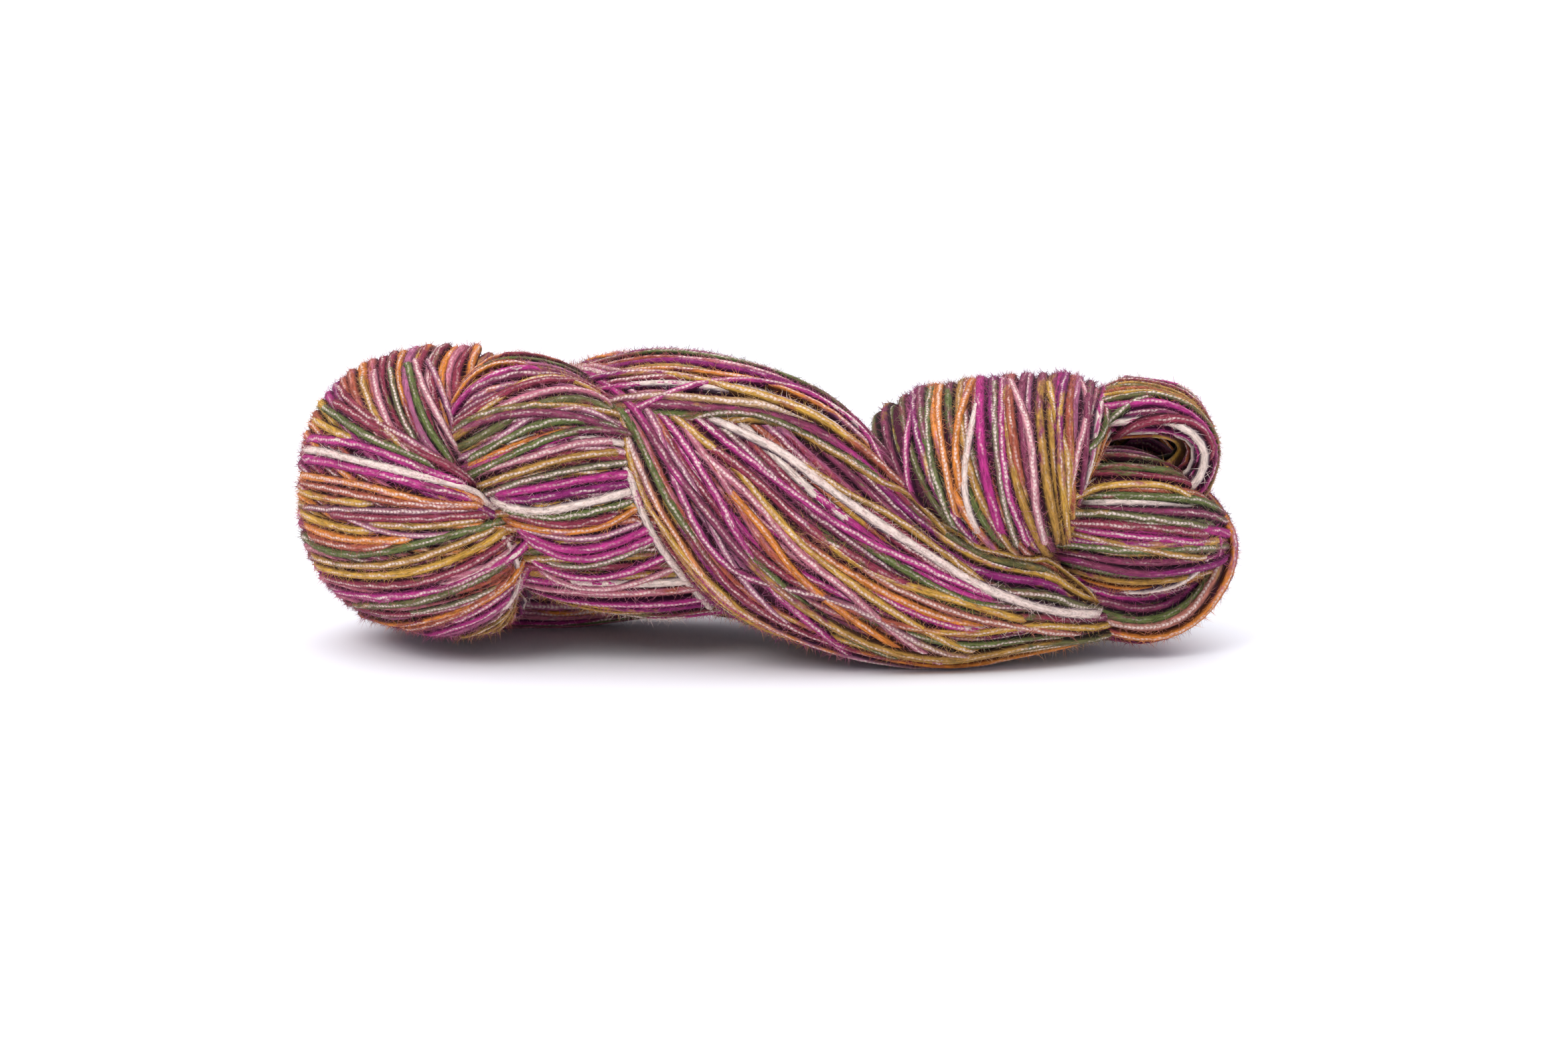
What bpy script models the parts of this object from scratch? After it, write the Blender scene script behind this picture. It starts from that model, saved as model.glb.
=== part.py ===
"""A hank of hand-dyed cotton and merino yarn, twisted and tucked into itself, lying on a surface.

The hank is one loop of yarn, so its plies run into one another. Each stretch of it that shows
is a tow: a thick band of strands whose cross-section is given at a few stations along its way.
The tows are made as closed tubes, fused into one soft body and pressed flat where it rests.
X runs along the hank, -Y faces the viewer, Z is up, and the surface is at Z = 0.
"""

from collections import namedtuple
from math import cos, pi, sin

import bmesh
import bpy
import numpy as np
from mathutils import Vector

# Driving sizes, in metres
MM = 0.001
LENGTH = 270.0 * MM            # from the left loop to the tip of the end loop
CENTRE = (0.45 * MM, 3.81 * MM)  # middle of the wound shape, moved to X = Y = 0
STATIONS_A_SPAN = 5            # sections worked out between two rows of a table
POINTS_A_SECTION = 28
SQUARENESS = 2.4               # 2 is an ellipse, more is fuller at the corners
INNER_MOST = 20.0 * MM         # most that a tow bulges towards the inside of its bend
SKIN_CELL = 1.9 * MM           # size of the cells in which the tows are fused
KEPT_FACES = 0.17              # share of the fused body's triangles that are kept
CUTTER_DEPTH = 20.0 * MM
YARN_COLOUR = (0.26, 0.06, 0.10, 1.0)

# One station of a tow, in mm: one edge of the band, the other edge, and half its thickness
Station = namedtuple("Station", "x1 y1 z1 x2 y2 z2 thick")

# Out of the pinch at the front, round the left end, along the back, then over the top
# and down in front as the wide collar that holds the tucked end
LEFT_LOOP = [
    Station(-57, -14, 43, -56, -14, 37, 4),
    Station(-68, -18, 44, -64, -18, 35, 5),
    Station(-78, -21, 47, -68, -21, 27, 8),
    Station(-86, -22, 59, -71, -22, 17, 13),
    Station(-90, -19, 73, -76, -19, 10, 21),
    Station(-91, -9, 84, -83, -11, 6, 33),
    Station(-88, 4, 88, -90, 1, 4.5, 44),
    Station(-88, 15, 82, -92, 13, 1.5, 43),
    Station(-87, 23, 75, -87, 22, -0.5, 30),
    Station(-79, 27, 67, -80, 27, -1, 18),
    Station(-59, 28, 60, -59, 28, -0.8, 17),
    Station(-34, 29, 60, -31, 29, 3, 17),
    Station(-7, 29, 59, 2, 29, 10, 17),
    Station(16, 29, 57, 34, 30, 17, 16),
    Station(32, 27, 57, 72, 30, 33, 15),
    Station(33, 18, 61, 98, 22, 56, 14),
    Station(30, 3, 61, 101, 5, 69, 14),
    Station(32, -14, 55, 97, -14, 67, 14),
    Station(41, -20, 45, 93, -22, 59, 14),
    Station(57, -19, 36, 88, -20, 47, 12),
    Station(72, -9, 31, 85, -10, 37, 7),
    Station(78, 6, 26, 84, 6, 30, 4),
]

# Out of the left ball, across the front, under the main twist and up the back right
FRONT_PLY = [
    Station(-106, 2, 52, -104, 2, 42, 5),
    Station(-97, -3, 61, -92, -3, 37, 9),
    Station(-88, -7, 76, -79, -7, 28, 14),
    Station(-76, -11, 87, -64, -11, 19, 19),
    Station(-59, -13, 86, -49, -13, 15, 21),
    Station(-44, -13, 76, -31, -12, 12, 20),
    Station(-33, -9, 60, -14, -6, 11, 19),
    Station(-16, 1, 43, 3, 3, 7, 17),
    Station(5, 13, 36, 24, 13, 2, 16),
    Station(31, 24, 38, 48, 24, -0.5, 16),
    Station(54, 30, 42, 73, 30, 0.5, 15),
    Station(77, 29, 52, 93, 29, 12, 14),
    Station(97, 25, 62, 108, 25, 24, 12),
    Station(112, 22, 61, 119, 22, 34, 9),
    Station(119, 18, 55, 123, 18, 39, 5),
]

# From behind the front ply over the top and down to the right, the big diagonal twist
MAIN_TWIST = [
    Station(-94, 12, 68, -88, 20, 39, 9),
    Station(-76, 14, 72, -77, 24, 38, 13),
    Station(-60, 8, 71, -56, 28, 54, 14),
    Station(-47, -12, 68, -40, 24, 71, 15),
    Station(-41, -25, 60, -20, 14, 76.5, 15.5),
    Station(-31, -29, 39, 4, 2, 77.5, 17.5),
    Station(-12, -27, 17, 25, -8, 67, 18.5),
    Station(18, -23, 4, 41, -14, 52, 18.5),
    Station(48, -19, -1, 61, -18, 38, 17),
    Station(74, -17, 2.5, 79, -18, 32, 13),
    Station(90, -14, 6, 90, -15, 21, 8),
    Station(97, -6, 7, 97, -6, 17, 5.5),
    Station(99, 4, 8, 99, 4, 15, 4),
    Station(95, 14, 9, 95, 14, 14, 3),
]

# The layer of strands that lies over the crest of the twist, from behind the front ply
OVER_PLY = [
    Station(-66, 8, 64, -67, 22, 70, 3),
    Station(-54, -2, 69, -56, 16, 77, 5),
    Station(-42, -20, 71, -42, 8, 81, 8),
    Station(-29, -25, 72, -30, 8, 83.5, 8),
    Station(-14, -25, 71, -15, 3, 83, 8),
    Station(0, -24, 70, 0, -2, 80, 7.5),
    Station(13, -25, 66, 13, -5, 75, 6.5),
    Station(22, -26, 60, 23, -8, 69, 5.5),
    Station(30, -27, 53, 31, -11, 62, 5),
    Station(36, -26, 48, 37, -15, 57, 4),
    Station(42, -20, 45, 43, -13, 49, 2),
]

# The end pushed through the collar, seen as a block of flat strands at the right
TUCKED_END = [
    Station(72, -2, 46, 79, -2, 27, 8),
    Station(83, -8, 57, 88, -9, 23, 13),
    Station(97, -10, 61, 100, -11, 19, 16),
    Station(110, -8, 58, 114, -9, 19, 15),
    Station(122, 1, 46, 124, -1, 22, 12),
    Station(128, 9, 36, 130, 9, 25, 7),
]

# From the lower end of the twist round the right end and up behind the tucked end
END_LOOP = [
    Station(70, 0, 12, 70, -6, 33, 8),
    Station(84, 0, 9, 82, -10, 31, 13),
    Station(98, 1, 8, 96, -10, 26, 15),
    Station(110, 2, 8, 107, -7, 22, 16),
    Station(121, 4, 11.5, 115, -2, 23, 16),
    Station(129, 5, 18.5, 120, 1, 26, 15.5),
    Station(131.7, 7, 28, 122, 3, 31, 15),
    Station(129.8, 9, 38, 120, 7, 37, 14),
    Station(124, 12, 45, 116, 12, 41, 13),
    Station(116, 16, 48, 113, 16, 42, 8),
]

# The small loop with an eye at the top right
CURL = [
    Station(88, 8, 69, 90, 6, 55, 12),
    Station(99, 3, 77, 99, 3, 61, 17),
    Station(110, 3, 77, 110, 2, 62, 20),
    Station(121, 2, 73, 117, 2, 62, 20),
    Station(128, 2, 63, 119, 2, 60, 19),
    Station(128, 2, 54, 118, 2, 56, 18),
    Station(124, 3, 44, 113, 3, 54, 16),
    Station(113, 6, 40, 107, 6, 53, 13),
    Station(102, 8, 41, 100, 8, 51, 9),
]

# The strands inside, which fill the twist between the plies
INNER_PLY = [
    Station(-107, 4, 52, -108, 6, 28, 9),
    Station(-58, 10, 66, -58, 8, 21, 18),
    Station(0, 10, 63, 0, 8, 17, 18),
    Station(54, 6, 58, 55, 6, 14, 20),
    Station(82, 6, 60, 82, 6, 19, 18),
    Station(118, 12, 43, 119, 12, 24, 7),
]

TOWS = [LEFT_LOOP, FRONT_PLY, MAIN_TWIST, OVER_PLY, TUCKED_END, END_LOOP, CURL, INNER_PLY]


def clear_scene():
    for old in list(bpy.data.objects):
        bpy.data.objects.remove(old, do_unlink=True)


def smooth_stations(table):
    """The table's rows with a Catmull-Rom curve's values between them, in metres."""
    rows = np.array(table, dtype=float) * MM
    rows = np.vstack([2 * rows[0] - rows[1], rows, 2 * rows[-1] - rows[-2]])
    steps = np.linspace(0.0, 1.0, STATIONS_A_SPAN, endpoint=False)[:, None]
    spans = []
    for before, start, end, after in zip(rows, rows[1:], rows[2:], rows[3:]):
        spans.append(0.5 * (2 * start
                            + (end - before) * steps
                            + (2 * before - 5 * start + 4 * end - after) * steps ** 2
                            + (3 * start - before - 3 * end + after) * steps ** 3))
    return np.vstack(spans + [rows[-2][None]])


def section_ring(middle, reach, face):
    """Points round one section: a superellipse from edge to edge, thick along face."""
    inner_share = min(1.0, INNER_MOST / face.length)    # flatter towards the inside of a bend
    ring = []
    for step in range(POINTS_A_SECTION):
        angle = 2 * pi * step / POINTS_A_SECTION
        across = abs(cos(angle)) ** (2 / SQUARENESS) * (1 if cos(angle) > 0 else -1)
        outward = abs(sin(angle)) ** (2 / SQUARENESS) * (inner_share if sin(angle) > 0 else -1)
        ring.append(middle + reach * across + face * outward)
    return ring


def add_tow(bm, table):
    """A closed tube through the table's stations."""
    stations = smooth_stations(table)
    middles = (stations[:, 0:3] + stations[:, 3:6]) / 2
    reaches = (stations[:, 0:3] - stations[:, 3:6]) / 2
    ways = np.gradient(middles, axis=0)
    rings = []
    for middle, reach, way, thick in zip(middles, reaches, ways, stations[:, 6]):
        face = Vector(way).cross(Vector(reach)).normalized() * thick
        ring = section_ring(Vector(middle), Vector(reach), face)
        rings.append([bm.verts.new(point) for point in ring])
    for ring, following in zip(rings, rings[1:]):
        for side in range(POINTS_A_SECTION):
            after = (side + 1) % POINTS_A_SECTION
            bm.faces.new([ring[side], ring[after], following[after], following[side]])
    bm.faces.new(list(reversed(rings[0])))
    bm.faces.new(rings[-1])


def fuse_tows(tows):
    """The tows as one skin, without what lies hidden inside it."""
    tubes = bpy.data.meshes.new("tows")
    bm = bmesh.new()
    for table in tows:
        add_tow(bm, table)
    bmesh.ops.recalc_face_normals(bm, faces=bm.faces)
    bm.to_mesh(tubes)
    bm.free()
    guide = bpy.data.objects.new("tows_guide", tubes)
    bpy.context.scene.collection.objects.link(guide)
    guide.hide_render = True
    guide.display_type = "WIRE"
    skin = guide.modifiers.new("Fuse", "REMESH")
    skin.mode = "VOXEL"
    skin.voxel_size = SKIN_CELL
    bpy.context.view_layer.update()
    seen = guide.evaluated_get(bpy.context.evaluated_depsgraph_get())
    fused = bpy.data.meshes.new_from_object(seen)
    bpy.data.objects.remove(guide)
    return fused


def keep_outer_shell(mesh):
    """Drop the shells round hollows inside, which leaves the body filled."""
    bm = bmesh.new()
    bm.from_mesh(mesh)
    left = set(bm.verts)
    shells = []
    while left:
        reached = {left.pop()}
        edge = list(reached)
        while edge:
            linked = {e.other_vert(v) for v in edge for e in v.link_edges} - reached
            reached |= linked
            edge = list(linked)
        left -= reached
        shells.append(reached)
    outer = max(shells, key=len)
    bmesh.ops.delete(bm, geom=[v for v in bm.verts if v not in outer], context="VERTS")
    bmesh.ops.translate(bm, verts=bm.verts, vec=(-CENTRE[0], -CENTRE[1], 0.0))
    bmesh.ops.triangulate(bm, faces=bm.faces)
    bm.to_mesh(mesh)
    bm.free()


def yarn_material():
    material = bpy.data.materials.new("Yarn")
    material.use_nodes = True
    shader = material.node_tree.nodes["Principled BSDF"]
    shader.inputs["Base Color"].default_value = YARN_COLOUR
    shader.inputs["Roughness"].default_value = 0.9
    shader.inputs["Metallic"].default_value = 0.0
    return material


def floor_cutter():
    """A block under the surface, which presses flat what would dip below it."""
    bpy.ops.mesh.primitive_cube_add(size=1.0, location=(0.0, 0.0, -CUTTER_DEPTH / 2))
    cutter = bpy.context.object
    cutter.name = "surface_cutter"
    cutter.scale = (1.5 * LENGTH, LENGTH, CUTTER_DEPTH)
    cutter.hide_render = True
    cutter.display_type = "WIRE"
    return cutter


def make_hank():
    mesh = fuse_tows(TOWS)
    keep_outer_shell(mesh)
    mesh.name = "hank"
    mesh.materials.clear()
    mesh.materials.append(yarn_material())
    hank = bpy.data.objects.new("hank", mesh)
    bpy.context.scene.collection.objects.link(hank)
    thin = hank.modifiers.new("Fewer faces", "DECIMATE")
    thin.ratio = KEPT_FACES
    press = hank.modifiers.new("Flat spots", "BOOLEAN")
    press.operation = "DIFFERENCE"
    press.solver = "EXACT"
    press.object = floor_cutter()
    return hank


clear_scene()
make_hank()
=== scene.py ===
"""A hank of hand-dyed cotton and merino yarn, dressed strand by strand over its wound form.

The way that the hank's plies lie comes first, then the strands that show, the ones packed
inside, the few that have slipped out of line, and the fuzz on them. The table, lights and
camera come last. Tables are in mm, what is built is in metres, Z is up, -Y faces the viewer.
"""

from collections import namedtuple
from math import cos, pi, radians, sin

import bpy
import numpy as np
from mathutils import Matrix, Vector
from mathutils.bvhtree import BVHTree


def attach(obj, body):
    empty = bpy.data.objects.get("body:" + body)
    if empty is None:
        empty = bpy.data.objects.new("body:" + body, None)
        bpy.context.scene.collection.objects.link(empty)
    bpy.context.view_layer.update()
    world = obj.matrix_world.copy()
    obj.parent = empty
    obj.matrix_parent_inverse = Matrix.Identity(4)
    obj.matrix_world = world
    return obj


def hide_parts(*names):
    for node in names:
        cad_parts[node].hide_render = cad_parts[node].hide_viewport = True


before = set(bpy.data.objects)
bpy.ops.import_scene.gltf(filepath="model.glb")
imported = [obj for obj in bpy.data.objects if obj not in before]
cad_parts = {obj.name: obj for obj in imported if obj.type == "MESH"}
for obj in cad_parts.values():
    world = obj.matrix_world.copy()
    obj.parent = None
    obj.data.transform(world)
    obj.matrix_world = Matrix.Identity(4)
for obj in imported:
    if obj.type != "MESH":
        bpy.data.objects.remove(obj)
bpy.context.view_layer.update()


# The wound form: one loop of yarn, twisted until it folds on itself, its end then tucked.
# Each stretch of a ply that shows is a tow, a band of strands given by stations along it:
# one edge, the other edge and half its thickness. They are the same plies as the solid's.

MM = 0.001
CENTRE = (0.45, 3.81)    # mm, middle of the wound shape, moved to X = Y = 0
SECTIONS_A_SPAN = 8      # laid from one station to the next
OUTLINE_STEPS = 360      # round a section, the first half of them on its inner side
SQUARENESS = 2.4         # 2 is an ellipse, more is fuller at the corners
INNER_MOST = 20.0        # mm, most that a tow bulges towards the inside of its bend

Station = namedtuple("Station", "x1 y1 z1 x2 y2 z2 thick")
Band = namedtuple("Band", "middles reaches faces thicks")

LEFT_LOOP = [
    Station(-57, -14, 43, -56, -14, 37, 4),
    Station(-68, -18, 44, -64, -18, 35, 5),
    Station(-78, -21, 47, -68, -21, 27, 8),
    Station(-86, -22, 59, -71, -22, 17, 13),
    Station(-90, -19, 73, -76, -19, 10, 21),
    Station(-91, -9, 84, -83, -11, 6, 33),
    Station(-88, 4, 88, -90, 1, 4.5, 44),
    Station(-88, 15, 82, -92, 13, 1.5, 43),
    Station(-87, 23, 75, -87, 22, -0.5, 30),
    Station(-79, 27, 67, -80, 27, -1, 18),
    Station(-59, 28, 60, -59, 28, -0.8, 17),
    Station(-34, 29, 60, -31, 29, 3, 17),
    Station(-7, 29, 59, 2, 29, 10, 17),
    Station(16, 29, 57, 34, 30, 17, 16),
    Station(32, 27, 57, 72, 30, 33, 15),
    Station(33, 18, 61, 98, 22, 56, 14),
    Station(30, 3, 61, 101, 5, 69, 14),
    Station(32, -14, 55, 97, -14, 67, 14),
    Station(41, -20, 45, 93, -22, 59, 14),
    Station(57, -19, 36, 88, -20, 47, 12),
    Station(72, -9, 31, 85, -10, 37, 7),
    Station(78, 6, 26, 84, 6, 30, 4),
]

FRONT_PLY = [
    Station(-106, 2, 52, -104, 2, 42, 5),
    Station(-97, -3, 61, -92, -3, 37, 9),
    Station(-88, -7, 76, -79, -7, 28, 14),
    Station(-76, -11, 87, -64, -11, 19, 19),
    Station(-59, -13, 86, -49, -13, 15, 21),
    Station(-44, -13, 76, -31, -12, 12, 20),
    Station(-33, -9, 60, -14, -6, 11, 19),
    Station(-16, 1, 43, 3, 3, 7, 17),
    Station(5, 13, 36, 24, 13, 2, 16),
    Station(31, 24, 38, 48, 24, -0.5, 16),
    Station(54, 30, 42, 73, 30, 0.5, 15),
    Station(77, 29, 52, 93, 29, 12, 14),
    Station(97, 25, 62, 108, 25, 24, 12),
    Station(112, 22, 61, 119, 22, 34, 9),
    Station(119, 18, 55, 123, 18, 39, 5),
]

MAIN_TWIST = [
    Station(-94, 12, 68, -88, 20, 39, 9),
    Station(-76, 14, 72, -77, 24, 38, 13),
    Station(-60, 8, 71, -56, 28, 54, 14),
    Station(-47, -12, 68, -40, 24, 71, 15),
    Station(-41, -25, 60, -20, 14, 76.5, 15.5),
    Station(-31, -29, 39, 4, 2, 77.5, 17.5),
    Station(-12, -27, 17, 25, -8, 67, 18.5),
    Station(18, -23, 4, 41, -14, 52, 18.5),
    Station(48, -19, -1, 61, -18, 38, 17),
    Station(74, -17, 2.5, 79, -18, 32, 13),
    Station(90, -14, 6, 90, -15, 21, 8),
    Station(97, -6, 7, 97, -6, 17, 5.5),
    Station(99, 4, 8, 99, 4, 15, 4),
    Station(95, 14, 9, 95, 14, 14, 3),
]

OVER_PLY = [
    Station(-66, 8, 64, -67, 22, 70, 3),
    Station(-54, -2, 69, -56, 16, 77, 5),
    Station(-42, -20, 71, -42, 8, 81, 8),
    Station(-29, -25, 72, -30, 8, 83.5, 8),
    Station(-14, -25, 71, -15, 3, 83, 8),
    Station(0, -24, 70, 0, -2, 80, 7.5),
    Station(13, -25, 66, 13, -5, 75, 6.5),
    Station(22, -26, 60, 23, -8, 69, 5.5),
    Station(30, -27, 53, 31, -11, 62, 5),
    Station(36, -26, 48, 37, -15, 57, 4),
    Station(42, -20, 45, 43, -13, 49, 2),
]

TUCKED_END = [
    Station(72, -2, 46, 79, -2, 27, 8),
    Station(83, -8, 57, 88, -9, 23, 13),
    Station(97, -10, 61, 100, -11, 19, 16),
    Station(110, -8, 58, 114, -9, 19, 15),
    Station(122, 1, 46, 124, -1, 22, 12),
    Station(128, 9, 36, 130, 9, 25, 7),
]

END_LOOP = [
    Station(70, 0, 12, 70, -6, 33, 8),
    Station(84, 0, 9, 82, -10, 31, 13),
    Station(98, 1, 8, 96, -10, 26, 15),
    Station(110, 2, 8, 107, -7, 22, 16),
    Station(121, 4, 11.5, 115, -2, 23, 16),
    Station(129, 5, 18.5, 120, 1, 26, 15.5),
    Station(131.7, 7, 28, 122, 3, 31, 15),
    Station(129.8, 9, 38, 120, 7, 37, 14),
    Station(124, 12, 45, 116, 12, 41, 13),
    Station(116, 16, 48, 113, 16, 42, 8),
]

CURL = [
    Station(88, 8, 69, 90, 6, 55, 12),
    Station(99, 3, 77, 99, 3, 61, 17),
    Station(110, 3, 77, 110, 2, 62, 20),
    Station(121, 2, 73, 117, 2, 62, 20),
    Station(128, 2, 63, 119, 2, 60, 19),
    Station(128, 2, 54, 118, 2, 56, 18),
    Station(124, 3, 44, 113, 3, 54, 16),
    Station(113, 6, 40, 107, 6, 53, 13),
    Station(102, 8, 41, 100, 8, 51, 9),
]

INNER_PLY = [
    Station(-107, 4, 52, -108, 6, 28, 9),
    Station(-58, 10, 66, -58, 8, 21, 18),
    Station(0, 10, 63, 0, 8, 17, 18),
    Station(54, 6, 58, 55, 6, 14, 20),
    Station(82, 6, 60, 82, 6, 19, 18),
    Station(118, 12, 43, 119, 12, 24, 7),
]


def spans(stations):
    """For each span, the stations before it, at its start, at its end and after it."""
    rows = np.vstack([2 * stations[0] - stations[1], stations, 2 * stations[-1] - stations[-2]])
    return zip(rows, rows[1:], rows[2:], rows[3:])


def on_curve(before, start, end, after, share):
    """Places on the Catmull-Rom curve from start to end, a share of the way along."""
    return 0.5 * (2 * start
                  + (end - before) * share
                  + (2 * before - 5 * start + 4 * end - after) * share ** 2
                  + (3 * start - before - 3 * end + after) * share ** 3)


def lay_band(table):
    """Sections along a tow, in mm, on a curve through its stations."""
    stations = np.array(table, dtype=float)
    stations[:, [0, 3]] -= CENTRE[0]
    stations[:, [1, 4]] -= CENTRE[1]
    shares = np.linspace(0.0, 1.0, SECTIONS_A_SPAN, endpoint=False)[:, None]
    laid = np.vstack([on_curve(*span, shares) for span in spans(stations)] + [stations[-1:]])
    middles = (laid[:, 0:3] + laid[:, 3:6]) / 2
    reaches = (laid[:, 0:3] - laid[:, 3:6]) / 2
    faces = np.cross(np.gradient(middles, axis=0), reaches)
    faces /= np.linalg.norm(faces, axis=1)[:, None]
    return Band(middles, reaches, faces, laid[:, 6])


BANDS = {
    "left_loop": lay_band(LEFT_LOOP),
    "front_ply": lay_band(FRONT_PLY),
    "main_twist": lay_band(MAIN_TWIST),
    "over_ply": lay_band(OVER_PLY),
    "tucked_end": lay_band(TUCKED_END),
    "end_loop": lay_band(END_LOOP),
    "curl": lay_band(CURL),
    "inner_ply": lay_band(INNER_PLY),
}


def round_section(reach, thick):
    """One section's outline: places across and outward, its outward slope, and arc length."""
    angle = np.linspace(0.0, 2 * pi, OUTLINE_STEPS + 1)
    across = np.sign(np.cos(angle)) * np.abs(np.cos(angle)) ** (2 / SQUARENESS) * reach
    deep = np.where(np.sin(angle) > 0, min(thick, INNER_MOST), thick)
    outward = np.sign(np.sin(angle)) * np.abs(np.sin(angle)) ** (2 / SQUARENESS) * deep
    slope_across = np.sign(across) * np.abs(across / reach) ** (SQUARENESS - 1) / reach
    slope_outward = np.sign(outward) * np.abs(outward / deep) ** (SQUARENESS - 1) / deep
    size = np.hypot(slope_across, slope_outward)
    length = np.concatenate([[0.0], np.cumsum(np.hypot(np.diff(across), np.diff(outward)))])
    return across, outward, slope_across / size, slope_outward / size, length


# The strands that show: soft roving blown into a fine knitted tube of viscose, so each one is a
# round, fuzzy cord about 3 mm thick. They lie side by side round a tow, and where a tow is
# pulled tight some of them sink under the others.

STRAND_RADIUS = 1.65            # mm
RADIUS_SPREAD = (0.86, 1.12)    # shares of it, for the thinnest and the thickest strand
SWELLING = 0.08                 # share of it by which one strand swells and thins
SWELL_LENGTHS = (14.0, 40.0)    # mm, shortest and longest wave along a strand
STRAND_STEP = 5.0 * MM          # between the rings of a strand's mesh
TIGHT_STEP = 3.7 * MM           # the same where a tow bends tightly
TIGHT_TOWS = ("tucked_end", "end_loop", "curl")
STRAND_SIDES = 8
STRAND_COUNTS = {"left_loop": 90, "front_ply": 70, "main_twist": 67, "over_ply": 34,
                 "tucked_end": 54, "end_loop": 46, "curl": 42, "inner_ply": 38}
TWISTS = {"front_ply": -0.0016}  # turns a mm, where a ply is twisted along its length
SWAY = 0.011                    # turns round a tow, how far neighbours wander together
SWAY_LENGTHS = (110.0, 320.0)   # mm
DRIFT = 0.18                    # strand widths, how far a strand wanders by itself
DRIFT_LENGTHS = (60.0, 190.0)   # mm
LIFT = 0.22                     # mm, how far it rises and falls
LIFT_SPREAD = 0.2               # mm, how much higher or lower a whole strand lies
LIFT_LENGTHS = (25.0, 90.0)     # mm
RIDERS = 0.06                   # share of strands that lie on top of the rest and cross them
RIDER_DRIFT = 1.8               # strand widths
RIDER_LIFT = 1.1                # mm
SQUASHED = 0.84                 # share of its width that a strand needs beside the others
FITTED = (0.92, 1.15)           # shares of its thickness in the least room and the most
SINKING = (-0.12, 0.16)         # its rank less its room, where it starts to sink and has sunk
SUNK = 3.0                      # mm, how far a strand sinks that finds no room
THINNEST = 0.4                  # mm, least half width of what the strands are laid round
DYE_REPEAT = 900.0              # mm of yarn before its dyes come round again
PALENESS = (1.0, 2.3)           # a beta curve's two numbers: few strands are pale
PALE_DRIFT = 0.15               # how much paler or darker a strand turns along its length
PALE_LENGTHS = (40.0, 120.0)    # mm

Strands = namedtuple("Strands", "places outward thickness dye pale")


def wander(rng, along, count, shortest, longest):
    """For each strand its own slow wave along its length, between about -1 and 1."""
    waves = np.zeros((len(along), count))
    for _ in range(4):
        length = rng.uniform(shortest, longest, count)
        start = rng.uniform(0.0, 2 * pi, count)
        waves += np.sin(2 * pi * along[:, None] / length + start)
    return waves / 2.4    # which four such waves together seldom pass


def sway(rng, along, turn):
    """How far neighbouring strands wander together, in turns round a tow."""
    waves = np.zeros((len(along), len(turn)))
    for lobes in (2, 3, 5, 8):
        start = rng.uniform(0.0, 2 * pi)
        length = rng.choice([-1, 1]) * rng.uniform(*SWAY_LENGTHS)
        waves += np.sin(2 * pi * (lobes * turn + along[:, None] / length) + start) * SWAY / lobes
    return waves


def smooth_step(value, low, high):
    """Rises gently from 0 at low to 1 at high."""
    share = np.clip((value - low) / (high - low), 0.0, 1.0)
    return share * share * (3 - 2 * share)


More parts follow.
